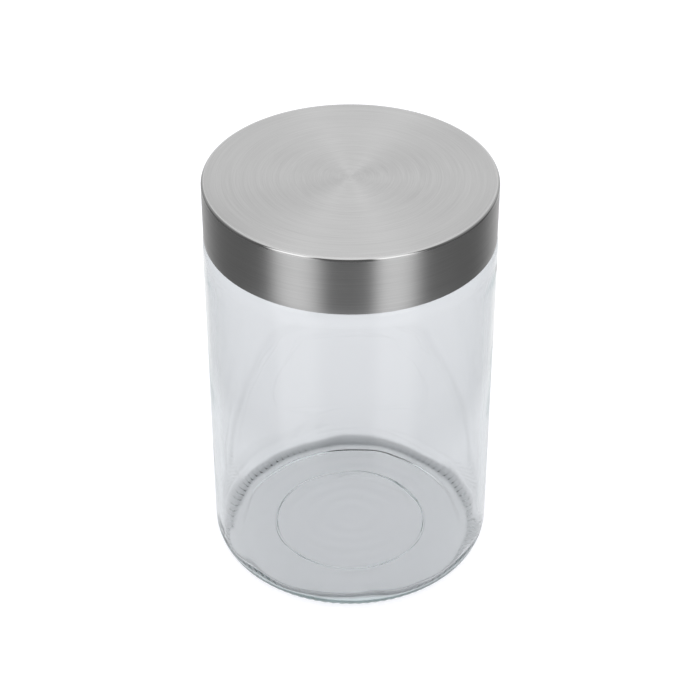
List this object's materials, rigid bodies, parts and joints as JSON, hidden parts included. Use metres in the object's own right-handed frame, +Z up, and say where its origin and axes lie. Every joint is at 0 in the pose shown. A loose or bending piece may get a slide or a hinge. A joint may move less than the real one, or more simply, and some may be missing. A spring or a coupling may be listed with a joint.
{
  "type": "lidded glass canister",
  "caption": "Round straight-walled glass kitchen canister with a knurled foot, a threaded neck and a brushed steel screw lid over a plastic insert with a seal.",
  "frame": {"origin": "middle of the jar's foot on the table", "axes": "+Z up along the jar's axis through the middle of the lid; -Y faces the viewer"},
  "size_m": [0.1108, 0.1108, 0.1663],
  "materials": {
    "jar_glass": "clear moulded soda-lime glass, glossy",
    "lid_steel": "fine circular brushing on the top, brushing round the skirt",
    "insert_plastic": "moulded off-white plastic",
    "seal_silicone": "translucent white silicone"
  },
  "bodies": {
    "jar": {"glass_jar": "jar_glass"},
    "seal": {"seal_ring": "seal_silicone"},
    "lid": {"lid_shell": "lid_steel", "lid_insert": "insert_plastic"}
  },
  "joints": [
    {"name": "lid_rise", "type": "slide", "parent": "jar", "child": "seal", "axis": [0, 0, 1], "range_m": [0, 0.021]},
    {"name": "lid_turn", "type": "hinge", "parent": "seal", "child": "lid", "pos_m": [0, 0, 0.155], "axis": [0, 0, 1], "range_deg": [0, 1260]}
  ],
  "couplings": [
    {"joint": "lid_rise", "follows": "lid_turn", "m_per_rad": 0.00095492}
  ]
}
